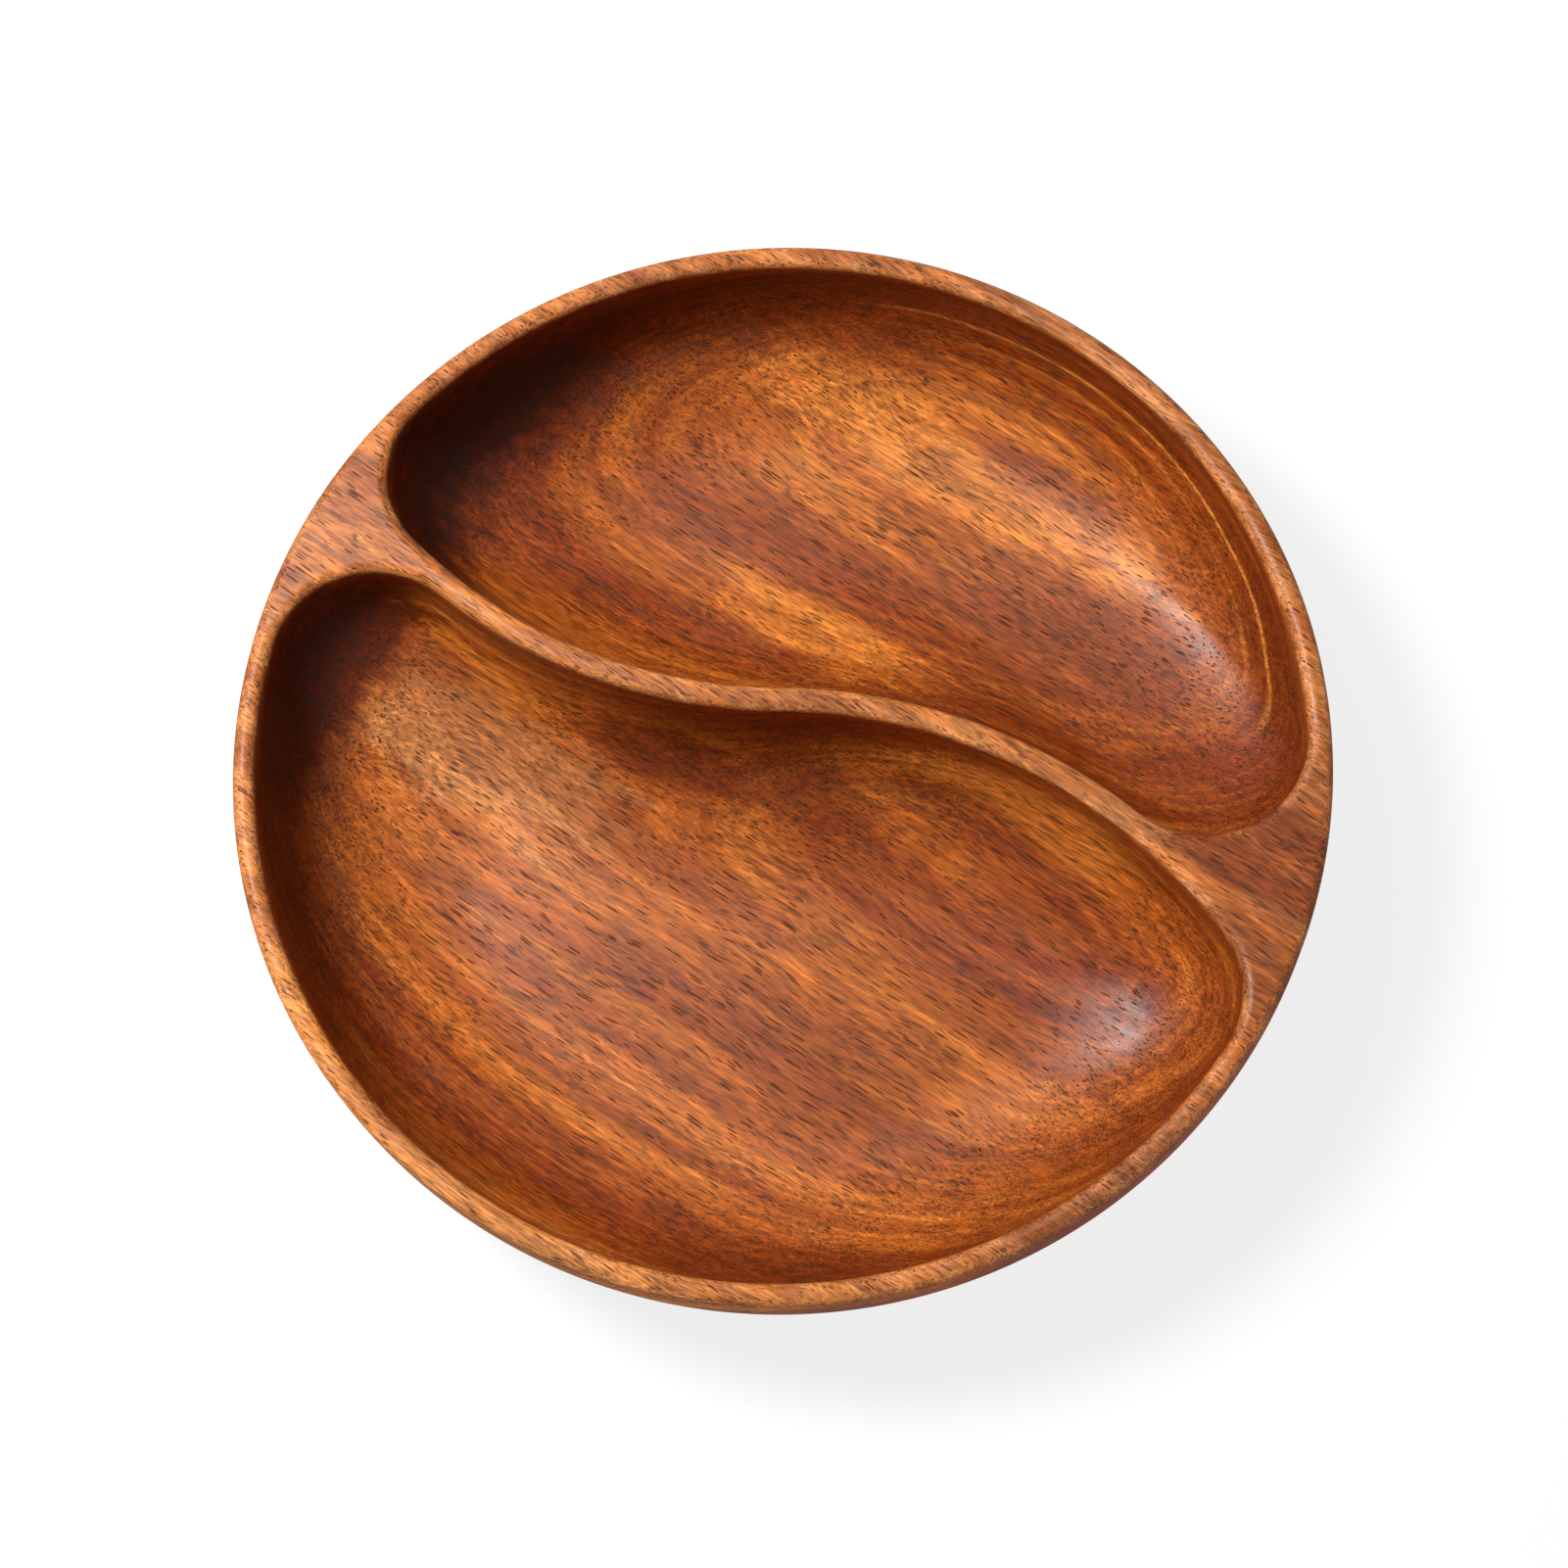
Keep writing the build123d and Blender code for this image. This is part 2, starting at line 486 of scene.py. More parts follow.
@dataclass
class Board:
    """One board of the blank, as it is left after the carving."""

    node: str
    front: float
    back: float
    glued_share: float = 0.99
    plane_weld: float = 0.0001 * MM

    def cut(self, body: bpy.types.Mesh, outer_radius: float) -> bmesh.types.BMesh:
        """Cuts the board's stretch out of the whole body, and closes its glued faces.

        Args:
            body: Closed mesh of the whole bowl.
            outer_radius: The bowl's radius, past which there is no glue line.

        Returns:
            The board, with the outlines of its glued faces marked sharp.
        """
        sculpt = bmesh.new()
        sculpt.from_mesh(body)
        for face in sculpt.faces:
            face.smooth = True
        for place, way in ((self.front, -1), (self.back, 1)):
            if abs(place) > outer_radius * self.glued_share:
                continue
            whole = list(sculpt.verts) + list(sculpt.edges) + list(sculpt.faces)
            cut = bmesh.ops.bisect_plane(
                sculpt,
                geom=whole,
                dist=self.plane_weld,
                plane_co=(0, place, 0),
                plane_no=(0, way, 0),
                clear_outer=True,
            )
            rim = [item for item in cut["geom_cut"] if isinstance(item, bmesh.types.BMEdge)]
            caps = bmesh.ops.edgenet_fill(sculpt, edges=rim)["faces"]
            for edge in rim:
                edge.smooth = False
            for cap in bmesh.ops.triangulate(sculpt, faces=caps)["faces"]:
                cap.smooth = False
        bmesh.ops.recalc_face_normals(sculpt, faces=sculpt.faces)
        return sculpt

    def carry_normals(self, mesh: bpy.types.Mesh) -> None:
        """Gives the carved surface the whole body's normals, so that light runs on across the glue lines.

        Args:
            mesh: The board. Its glued faces are flat, and keep their own normals.
        """
        corners = len(mesh.loops)
        soft = np.empty(len(mesh.vertices) * 3)
        mesh.attributes[SOFT_NORMAL].data.foreach_get("vector", soft)
        soft = soft.reshape(-1, 3)
        soft /= np.linalg.norm(soft, axis=1, keepdims=True).clip(TINY)
        vertex = np.empty(corners, dtype=int)
        mesh.loops.foreach_get("vertex_index", vertex)
        faces = len(mesh.polygons)
        size = np.empty(faces, dtype=int)
        mesh.polygons.foreach_get("loop_total", size)
        smooth = np.empty(faces, dtype=bool)
        mesh.polygons.foreach_get("use_smooth", smooth)
        flat = np.empty(faces * 3)
        mesh.polygons.foreach_get("normal", flat)
        face = np.repeat(np.arange(faces), size)
        normal = np.where(smooth[face][:, None], soft[vertex], flat.reshape(-1, 3)[face])
        mesh.normals_split_custom_set(normal.tolist())
        mesh.attributes.remove(mesh.attributes[SOFT_NORMAL])

    def build(self, body: bpy.types.Mesh, outer_radius: float) -> bpy.types.Object:
        """Makes the board's object.

        Args:
            body: Closed mesh of the whole bowl.
            outer_radius: The bowl's radius.

        Returns:
            The board's object.
        """
        sculpt = self.cut(body, outer_radius)
        mesh = bpy.data.meshes.new(f"{self.node}_shape")
        sculpt.to_mesh(mesh)
        sculpt.free()
        self.carry_normals(mesh)
        piece = bpy.data.objects.new(f"{self.node}_wood", mesh)
        bpy.context.scene.collection.objects.link(piece)
        return piece


@dataclass(frozen=True)
class Grain:
    """One noise in the wood: length along the grain and width across it in millimetres, and its detail."""

    length: float
    width: float
    octaves: float = 2.0
    roughness: float = 0.5


class NodeSheet:
    """A node tree that is filled in by short calls."""

    def __init__(self, tree: bpy.types.NodeTree) -> None:
        """Takes the tree to fill in.

        Args:
            tree: The node tree.
        """
        self.tree = tree

    def add(self, kind: str, **settings: object) -> bpy.types.Node:
        """New node with its settings.

        Args:
            kind: The node's type name.
            settings: Values of the node's own properties.

        Returns:
            The node.
        """
        node = self.tree.nodes.new(kind)
        for name, value in settings.items():
            setattr(node, name, value)
        return node

    def feed(self, socket: bpy.types.NodeSocket, source: object) -> None:
        """Links a socket to a source, or sets its value.

        Args:
            socket: The input to feed.
            source: Another node's output, or a plain value.
        """
        if isinstance(source, bpy.types.NodeSocket):
            self.tree.links.new(source, socket)
        else:
            socket.default_value = source

    def math(self, operation: str, *terms: object, clamp: bool = False) -> bpy.types.NodeSocket:
        """Result of a math node.

        Args:
            operation: The operation's name.
            terms: Its inputs, in order.
            clamp: Whether the result stays between 0 and 1.

        Returns:
            The result's socket.
        """
        node = self.add("ShaderNodeMath", operation=operation, use_clamp=clamp)
        for socket, term in zip(node.inputs, terms):
            self.feed(socket, term)
        return node.outputs[0]

    def scaled(self, vector: object, by: tuple[float, float, float]) -> bpy.types.NodeSocket:
        """A vector with each axis multiplied by its own number.

        Args:
            vector: The vector.
            by: Three numbers.

        Returns:
            The product's socket.
        """
        node = self.add("ShaderNodeVectorMath", operation="MULTIPLY")
        self.feed(node.inputs[0], vector)
        self.feed(node.inputs[1], by)
        return node.outputs[0]

    def moved(self, vector: object, by: object) -> bpy.types.NodeSocket:
        """A vector plus another.

        Args:
            vector: The vector.
            by: What is added.

        Returns:
            The sum's socket.
        """
        node = self.add("ShaderNodeVectorMath", operation="ADD")
        self.feed(node.inputs[0], vector)
        self.feed(node.inputs[1], by)
        return node.outputs[0]

    def cells(self, place: object, length: object, width: object) -> bpy.types.NodeSocket:
        """A position divided by a length along X, and by a width along Y and Z.

        Args:
            place: Position in millimetres.
            length: The length.
            width: The width.

        Returns:
            The quotient's socket.
        """
        size = self.add("ShaderNodeCombineXYZ")
        for socket, term in zip(size.inputs, (length, width, width)):
            self.feed(socket, term)
        node = self.add("ShaderNodeVectorMath", operation="DIVIDE")
        self.feed(node.inputs[0], place)
        self.feed(node.inputs[1], size.outputs[0])
        return node.outputs[0]

    def noise(self, vector: object, octaves: float = 2.0, roughness: float = 0.5) -> bpy.types.Node:
        """Noise texture at scale 1, so that the vector sets its size.

        Args:
            vector: Where it is read.
            octaves: Number of octaves.
            roughness: How strong the finer octaves are.

        Returns:
            The noise node.
        """
        node = self.add("ShaderNodeTexNoise", noise_dimensions="3D")
        self.feed(node.inputs["Vector"], vector)
        self.feed(node.inputs["Scale"], 1.0)
        self.feed(node.inputs["Detail"], octaves)
        self.feed(node.inputs["Roughness"], roughness)
        return node

    def grain(self, place: object, grain: Grain) -> bpy.types.Node:
        """Noise that is stretched along the grain.

        Args:
            place: Position in millimetres.
            grain: Its size.

        Returns:
            The noise node.
        """
        shrunk = self.scaled(place, (1 / grain.length, 1 / grain.width, 1 / grain.width))
        return self.noise(shrunk, grain.octaves, grain.roughness)

    def swayed(self, place: object, grain: Grain, height: float) -> bpy.types.NodeSocket:
        """A position moved across the grain by slow noise, so that fibres wander.

        Args:
            place: Position in millimetres.
            grain: Size of the noise.
            height: How far it moves things, in millimetres.

        Returns:
            The moved position's socket.
        """
        sway = self.grain(place, grain)
        return self.moved(place, self.scaled(sway.outputs["Color"], (0.0, height, height)))

    def span(
        self,
        value: object,
        low: object,
        high: object,
        to_low: object = 0.0,
        to_high: object = 1.0,
        smooth: bool = True,
    ) -> bpy.types.NodeSocket:
        """A value mapped from one span to another, and kept inside it.

        Args:
            value: What is mapped.
            low: Start of its span.
            high: End of its span.
            to_low: Start of the result's span.
            to_high: End of the result's span.
            smooth: Whether the mapping eases in and out.

        Returns:
            The result's socket.
        """
        kind = "SMOOTHSTEP" if smooth else "LINEAR"
        node = self.add("ShaderNodeMapRange", interpolation_type=kind, clamp=True)
        sockets = ("Value", "From Min", "From Max", "To Min", "To Max")
        for name, term in zip(sockets, (value, low, high, to_low, to_high)):
            self.feed(node.inputs[name], term)
        return node.outputs[0]

    def varied(self, noise: object, reach: tuple[float, float], smooth: bool = False) -> bpy.types.NodeSocket:
        """A noise mapped on to a span of values, from its usual lowest to its usual highest.

        Args:
            noise: The noise.
            reach: Start and end of the result's span.
            smooth: Whether the mapping eases in and out.

        Returns:
            The result's socket.
        """
        return self.span(noise, NOISE_LOW, NOISE_HIGH, *reach, smooth=smooth)

    def mean(self, factor: object, first: object, second: object) -> bpy.types.NodeSocket:
        """Mix of two numbers.

        Args:
            factor: Share of the second.
            first: A number.
            second: A number.

        Returns:
            The mixed number's socket.
        """
        node = self.add("ShaderNodeMix", data_type="FLOAT", clamp_factor=True)
        for socket, term in zip(node.inputs[:1] + node.inputs[2:4], (factor, first, second)):
            self.feed(socket, term)
        return node.outputs[0]

    def attribute(self, name: str) -> bpy.types.NodeSocket:
        """A number that the mesh stores at its points."""
        return self.add("ShaderNodeAttribute", attribute_name=name).outputs["Fac"]

    def group(self, tree: bpy.types.NodeTree, **values: object) -> bpy.types.Node:
        """Places a node group.

        Args:
            tree: The group's tree.
            values: What its inputs are fed with.

        Returns:
            The group's node.
        """
        node = self.add("ShaderNodeGroup", node_tree=tree)
        for label, value in values.items():
            self.feed(node.inputs[label], value)
        return node

    def blend(self, factor: object, first: object, second: object, mode: str = "MIX") -> bpy.types.NodeSocket:
        """Mix of two colours.

        Args:
            factor: Share of the second.
            first: A colour.
            second: A colour.
            mode: How they are mixed.

        Returns:
            The mixed colour's socket.
        """
        node = self.add("ShaderNodeMix", data_type="RGBA", blend_type=mode, clamp_factor=True)
        self.feed(node.inputs[0], factor)
        self.feed(node.inputs[6], first)
        self.feed(node.inputs[7], second)
        return node.outputs[2]


class EffectGroup:
    """A node group with named sockets, filled in by short calls."""

    def __init__(self, name: str, inputs: dict[str, object], outputs: list[str]) -> None:
        """Makes the group with its sockets.

        Args:
            name: The group's name.
            inputs: Names of its inputs with their first values: a number, or three for a vector.
            outputs: Names of its outputs, which are all numbers.
        """
        self.tree = bpy.data.node_groups.new(name, "ShaderNodeTree")
        for label, value in inputs.items():
            vector = isinstance(value, tuple)
            kind = "NodeSocketVector" if vector else "NodeSocketFloat"
            socket = self.tree.interface.new_socket(label, in_out="INPUT", socket_type=kind)
            socket.default_value = value
        for label in outputs:
            self.tree.interface.new_socket(label, in_out="OUTPUT", socket_type="NodeSocketFloat")
        self.sheet = NodeSheet(self.tree)
        self.inputs = self.sheet.add("NodeGroupInput").outputs
        self.outputs = self.sheet.add("NodeGroupOutput").inputs


@dataclass(frozen=True)
class GrowthRings:
    """Layers of the tree's growth, cut through as the bowl is carved. Lengths are in millimetres.

    The layers are cylinders about the pith, which runs along X far below the bowl; slow noise bends them, and
    quicker noise ripples them. The layer number is the distance from the pith over the layers' thickness.
    Tone is noise that runs along the layers, fine is the same with thinner ones, line is a narrow dark band
    at the end of some layers, and depth is the bent distance from the pith.
    """

    pith: tuple[float, float, float] = (0.0, 200.0, -500.0)
    thickness: float = 3.2
    bend: Grain = Grain(150.0, 60.0, 1.0)
    bend_height: float = 3.5
    ripple: Grain = Grain(40.0, 14.0)
    ripple_height: float = 1.6
    tone_length: float = 130.0
    tone_width: float = 34.0
    fine_times: tuple[float, float, float] = (2.2, 2.5, 4.2)
    line_times: tuple[float, float, float] = (1.6, 1.6, 0.8)
    line_start: float = 0.45
    line_peak: float = 0.93
    line_chance: tuple[float, float] = (0.45, 0.70)

    def build(self) -> bpy.types.NodeTree:
        """Makes the group.

        Returns:
            The group's tree.
        """
        group = EffectGroup(
            "growth_rings",
            {
                "Position": (0.0, 0.0, 0.0),
                "Pith": self.pith,
                "Thickness": self.thickness,
                "Bend": self.bend_height,
                "Ripple": self.ripple_height,
            },
            ["Tone", "Fine", "Line", "Depth"],
        )
        sheet = group.sheet
        place = group.inputs["Position"]
        cut = sheet.add("ShaderNodeSeparateXYZ")
        sheet.feed(cut.inputs[0], place)
        pith = sheet.add("ShaderNodeSeparateXYZ")
        sheet.feed(pith.inputs[0], group.inputs["Pith"])
        across = sheet.math("SUBTRACT", cut.outputs[1], pith.outputs[1])
        above = sheet.math("SUBTRACT", cut.outputs[2], pith.outputs[2])
        squares = [sheet.math("MULTIPLY", side, side) for side in (across, above)]
        depth = sheet.math("SQRT", sheet.math("ADD", *squares))
        for size, height in ((self.bend, "Bend"), (self.ripple, "Ripple")):
            wave = sheet.math("SUBTRACT", sheet.grain(place, size).outputs[0], 0.5)
            depth = sheet.math("ADD", depth, sheet.math("MULTIPLY", wave, group.inputs[height]))
        layer = sheet.math("DIVIDE", depth, group.inputs["Thickness"])
        along = sheet.math("DIVIDE", cut.outputs[0], self.tone_length)
        aside = sheet.math("DIVIDE", across, self.tone_width)
        point = sheet.add("ShaderNodeCombineXYZ")
        for socket, term in zip(point.inputs, (along, aside, layer)):
            sheet.feed(socket, term)
        tone = sheet.noise(point.outputs[0])
        fine = sheet.noise(sheet.scaled(point.outputs[0], self.fine_times))
        chance = sheet.noise(sheet.scaled(point.outputs[0], self.line_times), 0.0)
        phase = sheet.math("FRACT", layer)
        rise = sheet.span(phase, self.line_start, self.line_peak)
        line = sheet.math("MULTIPLY", rise, sheet.span(phase, 1.0, self.line_peak))
        line = sheet.math("MULTIPLY", line, sheet.span(chance.outputs[0], *self.line_chance))
        sheet.feed(group.outputs["Tone"], tone.outputs[0])
        sheet.feed(group.outputs["Fine"], fine.outputs[0])
        sheet.feed(group.outputs["Line"], line)
        sheet.feed(group.outputs["Depth"], depth)
        return group.tree


@dataclass(frozen=True)
class WoodFibres:
    """Streaks along the grain: stretched noise in three sizes, and short dark dashes that stand in crowds."""

    sway: Grain = Grain(34.0, 20.0, 1.0)
    sway_height: float = 5.0
    fibre: Grain = Grain(9.0, 0.32, 2.0, 0.6)
    fleck: Grain = Grain(5.5, 0.85, 2.0, 0.6)
    strand: Grain = Grain(50.0, 2.2)
    dash: Grain = Grain(4.2, 0.48, 1.0)
    dash_edge: tuple[float, float] = (0.53, 0.62)
    crowd: Grain = Grain(26.0, 7.0)
    crowd_edge: tuple[float, float, float] = (0.38, 0.62, 0.35)

    def build(self) -> bpy.types.NodeTree:
        """Makes the group.

        Returns:
            The group's tree.
        """
        outputs = ["Fibre", "Fleck", "Strand", "Dash"]
        group = EffectGroup("wood_fibres", {"Position": (0.0, 0.0, 0.0)}, outputs)
        sheet = group.sheet
        place = sheet.swayed(group.inputs["Position"], self.sway, self.sway_height)
        streaks = {"Fibre": self.fibre, "Fleck": self.fleck, "Strand": self.strand}
        for label, size in streaks.items():
            sheet.feed(group.outputs[label], sheet.grain(place, size).outputs[0])
        dash = sheet.span(sheet.grain(place, self.dash).outputs[0], *self.dash_edge)
        crowd = sheet.span(sheet.grain(place, self.crowd).outputs[0], *self.crowd_edge)
        sheet.feed(group.outputs["Dash"], sheet.math("MULTIPLY", dash, crowd))
        return group.tree


@dataclass(frozen=True)
class HeartStreaks:
    """Streaks of darker heartwood: noise stretched along the grain, past a threshold."""

    length: float = 60.0
    width: float = 13.0
    octaves: float = 4.0
    roughness: float = 0.6
    start: float = 0.5
    softness: float = 0.16

    def build(self) -> bpy.types.NodeTree:
        """Makes the group.

        Returns:
            The group's tree.
        """
        group = EffectGroup(
            "heart_streaks",
            {
                "Position": (0.0, 0.0, 0.0),
                "Length": self.length,
                "Width": self.width,
                "Start": self.start,
                "Softness": self.softness,
            },
            ["Mask"],
        )
        sheet = group.sheet
        shrunk = sheet.cells(group.inputs["Position"], group.inputs["Length"], group.inputs["Width"])
        cloud = sheet.noise(shrunk, self.octaves, self.roughness)
        end = sheet.math("ADD", group.inputs["Start"], group.inputs["Softness"])
        sheet.feed(group.outputs["Mask"], sheet.span(cloud.outputs[0], group.inputs["Start"], end))
        return group.tree


@dataclass(frozen=True)
class WoodPores:
    """Open pores: long thin ellipsoids along the grain, one in each stretched cell, of random size."""

    length: float = 8.5
    width: float = 0.54
    radius: float = 0.25
    share: float = 0.95
    sway: Grain = Grain(30.0, 30.0, 1.0)
    sway_height: float = 5.0
    sizes: tuple[float, float] = (0.5, 1.3)
    hard_core: float = 0.6

    def build(self) -> bpy.types.NodeTree:
        """Makes the group.

        Returns:
            The group's tree.
        """
        group = EffectGroup(
            "wood_pores",
            {
                "Position": (0.0, 0.0, 0.0),
                "Length": self.length,
                "Width": self.width,
                "Radius": self.radius,
                "Share": self.share,
            },
            ["Mask"],
        )
        sheet = group.sheet
        place = sheet.swayed(group.inputs["Position"], self.sway, self.sway_height)
        cell = sheet.add("ShaderNodeTexVoronoi", voronoi_dimensions="3D", feature="F1")
        sheet.feed(cell.inputs["Vector"], sheet.cells(place, group.inputs["Length"], group.inputs["Width"]))
        sheet.feed(cell.inputs["Scale"], 1.0)
        chance = sheet.add("ShaderNodeSeparateXYZ")
        sheet.feed(chance.inputs[0], cell.outputs["Color"])
        size = sheet.span(chance.outputs[0], 0.0, 1.0, *self.sizes)
        reach = sheet.math("MULTIPLY", group.inputs["Radius"], size)
        hole = sheet.span(cell.outputs["Distance"], reach, sheet.math("MULTIPLY", reach, self.hard_core))
        open_ones = sheet.math("LESS_THAN", chance.outputs[1], group.inputs["Share"])
        sheet.feed(group.outputs["Mask"], sheet.math("MULTIPLY", hole, open_ones))
        return group.tree


@dataclass(frozen=True)
class EdgeWearAndSheen:
    """Where handling has polished and lightened the rounded edges, broken up by noise; the lighter colour
    also paints their sheen.
    """

    patch: Grain = Grain(14.0, 5.0, 3.0, 0.6)
    patch_edge: tuple[float, float, float] = (0.35, 0.65, 0.35)

    def build(self) -> bpy.types.NodeTree:
        """Makes the group.

        Returns:
            The group's tree.
        """
        group = EffectGroup("edge_wear_and_sheen", {"Position": (0.0, 0.0, 0.0), "Exposure": 0.0}, ["Mask"])
        sheet = group.sheet
        patch = sheet.grain(group.inputs["Position"], self.patch)
        worn_and_sheen = sheet.span(patch.outputs[0], *self.patch_edge)
        sheet.feed(group.outputs["Mask"], sheet.math("MULTIPLY", group.inputs["Exposure"], worn_and_sheen, clamp=True))
        return group.tree


@dataclass(frozen=True)
class PatchShape:
    """Shape that every patch of other wood, painted shade or painted sheen has: an ellipsoid, with an edge
    that noise makes ragged.

    The edge is the distance from the middle over the half sizes, plus noise from -1 to 1 times raggedness.
    """

    tear: Grain = Grain(22.0, 3.2, 3.0, 0.6)
    outer_edge: float = 1.25
    inner_edge: float = 0.55

    def build(self) -> bpy.types.NodeTree:
        """Makes the group.

        Returns:
            The group's tree.
        """
        group = EffectGroup(
            "wood_patch",
            {"Position": (0.0, 0.0, 0.0), "Centre": (0.0, 0.0, 0.0), "Reach": (1.0, 1.0, 1.0), "Ragged": 1.0},
            ["Mask"],
        )
        sheet = group.sheet
        torn = sheet.grain(group.inputs["Position"], self.tear)
        away = sheet.add("ShaderNodeVectorMath", operation="SUBTRACT")
        sheet.feed(away.inputs[0], group.inputs["Position"])
        sheet.feed(away.inputs[1], group.inputs["Centre"])
        shrunk = sheet.add("ShaderNodeVectorMath", operation="DIVIDE")
        sheet.feed(shrunk.inputs[0], away.outputs[0])
        sheet.feed(shrunk.inputs[1], group.inputs["Reach"])
        length = sheet.add("ShaderNodeVectorMath", operation="LENGTH")
        sheet.feed(length.inputs[0], shrunk.outputs[0])
        fray = sheet.span(torn.outputs[0], 0.0, 1.0, -1.0, 1.0, smooth=False)
        fray = sheet.math("MULTIPLY", fray, group.inputs["Ragged"])
        edge = sheet.math("ADD", length.outputs["Value"], fray)
        sheet.feed(group.outputs["Mask"], sheet.span(edge, self.outer_edge, self.inner_edge))
        return group.tree


@dataclass(frozen=True)
class Patch:
    """One patch of darker or lighter wood, of painted shade or of painted sheen: its middle and half sizes in
    millimetres, and its strength.
    """

    centre: tuple[float, float, float]
    reach: tuple[float, float, float]
    strength: float


@dataclass(frozen=True)
class WoodNodes:
    """What the wood's colour and gloss are worked out from, with the position in millimetres."""

    sheet: NodeSheet
    place: bpy.types.NodeSocket
    patch: bpy.types.NodeTree
    rings: bpy.types.Node
    streaks: bpy.types.Node
    fibres: bpy.types.Node
    pores: bpy.types.Node
    wear_and_sheen: bpy.types.Node


@dataclass(frozen=True)
class WoodFinish:
    """Colours (linear) and gloss of the oiled acacia, and where its tone changes.

    Layer tones pair a distance from the pith in millimetres with a tone from 0, dark, to 1, golden, and wall
    lines pair one with a strength. A shade is what a noise multiplies the colour by, at its least and its
    most. A share is how much of one colour covers another. The painted shade patches paint shade into the
    colour, on the walls under the rim, under the divider and on the near wall, with some darker wood: their
    share is multiplied for mahogany, and its square for a near-black, which covers less where the strands
    are pale. The fawn patch and the worn edges are paler wood with a painted sheen on them.
    """

    mahogany: tuple[float, float, float, float] = (0.19, 0.030, 0.003, 1)
    russet: tuple[float, float, float, float] = (0.37, 0.090, 0.011, 1)
    honey: tuple[float, float, float, float] = (0.62, 0.195, 0.030, 1)
    umber: tuple[float, float, float, float] = (0.12, 0.026, 0.006, 1)
    plum: tuple[float, float, float, float] = (0.21, 0.044, 0.010, 1)
    pale: tuple[float, float, float, float] = (0.72, 0.27, 0.045, 1)
    # Pale wood that also paints a sheen on the front compartment's left floor.
    fawn_and_sheen: tuple[float, float, float, float] = (0.56, 0.25, 0.085, 1)
    # Near-black that paints shade into the most shaded places.
    shade_black: tuple[float, float, float, float] = (0.040, 0.007, 0.001, 1)
    pore: tuple[float, float, float, float] = (0.035, 0.009, 0.003, 1)
    # Pale colour of the worn edges, which also paints the sheen on rims and crowns.
    worn_and_sheen: tuple[float, float, float, float] = (0.82, 0.36, 0.135, 1)
    end_tint: tuple[float, float, float, float] = (0.44, 0.30, 0.22, 1)
    layer_tones: tuple[tuple[float, float], ...] = (
        (520.0, 0.60), (525.0, 0.70), (529.0, 0.50), (532.0, 0.38), (537.0, 0.26), (541.0, 0.08),
        (549.0, 0.12), (553.0, 0.40), (558.0, 0.52), (562.0, 0.58), (567.0, 0.38), (574.0, 0.50),
        (581.0, 0.50), (587.0, 0.20), (593.0, 0.08), (604.0, 0.46), (614.0, 0.80), (630.0, 0.88),
    )
    golden: tuple[Patch, ...] = (
        Patch((-13.1, 79.1, 13.0), (62.0, 9.0, 8.0), 0.38),
        Patch((-13.0, 33.0, 12.0), (38.0, 9.0, 8.0), 0.50),
        Patch((28.8, 8.7, 16.0), (36.0, 6.0, 7.0), 0.25),
        Patch((44.0, 21.0, 27.0), (30.0, 11.0, 11.0), 0.40),
        # On the divider's left top this lighter tone also paints part of the sheen.
        Patch((-78.0, -8.0, 43.0), (22.0, 6.0, 4.0), 0.35),
        Patch((-93.6, -52.4, 43.0), (14.0, 40.0, 5.0), 0.60),
        Patch((-55.8, -91.9, 43.0), (34.0, 24.0, 5.0), 0.60),
    )
    dark: tuple[Patch, ...] = (
        Patch((6.4, 87.7, 13.0), (24.0, 3.6, 4.0), 0.75),
        Patch((33.1, 61.0, 11.0), (46.0, 13.0, 8.0), 0.85),
        Patch((-63.9, 76.6, 23.0), (30.0, 3.0, 6.0), 0.70),
        Patch((-76.8, -18.7, 19.0), (13.0, 4.5, 7.0), 0.80),
        Patch((-62.1, -24.6, 15.0), (26.0, 11.0, 8.0), 0.50),
        Patch((-16.9, -24.4, 10.0), (46.0, 5.0, 6.0), 0.55),
        Patch((89.0, 32.4, 43.0), (26.0, 4.6, 6.0), 0.85),
        Patch((84.6, 42.6, 43.0), (24.0, 4.6, 6.0), 0.85),
        Patch((-104.0, 0.9, 43.0), (16.0, 3.4, 5.0), 0.60),
        Patch((57.9, 64.7, 13.0), (7.0, 2.6, 4.0), 0.60),
        Patch((100.0, 17.0, 43.0), (22.0, 8.0, 5.0), 0.70),
    )
    # Painted shade: the colour darkens to mahogany and near-black where the rim and divider shade the walls
    # and floor, with some darker wood.
    painted_shade: tuple[Patch, ...] = (
        Patch((-90.0, 24.9, 26.0), (20.0, 38.0, 13.0), 0.85),
        Patch((-90.5, -39.1, 26.0), (14.0, 42.0, 12.0), 0.70),
        Patch((-36.0, 90.0, 27.0), (80.0, 14.0, 12.0), 0.35),
        Patch((-16.0, -1.7, 30.0), (52.0, 9.0, 9.0), 0.20),
        Patch((72.0, 78.0, 26.0), (20.0, 34.0, 12.0), 0.30),
        Patch((90.2, 36.2, 43.0), (20.0, 14.0, 6.0), 0.18),
        Patch((40.0, -84.0, 26.0), (90.0, 16.0, 12.0), 0.50),
        Patch((-24.0, -7.0, 20.5), (30.0, 9.0, 8.0), 0.55),
        Patch((3.0, 2.0, 18.0), (30.0, 9.0, 8.0), 0.42),
        Patch((32.0, 16.0, 17.5), (22.0, 9.0, 8.0), 0.32),
    )
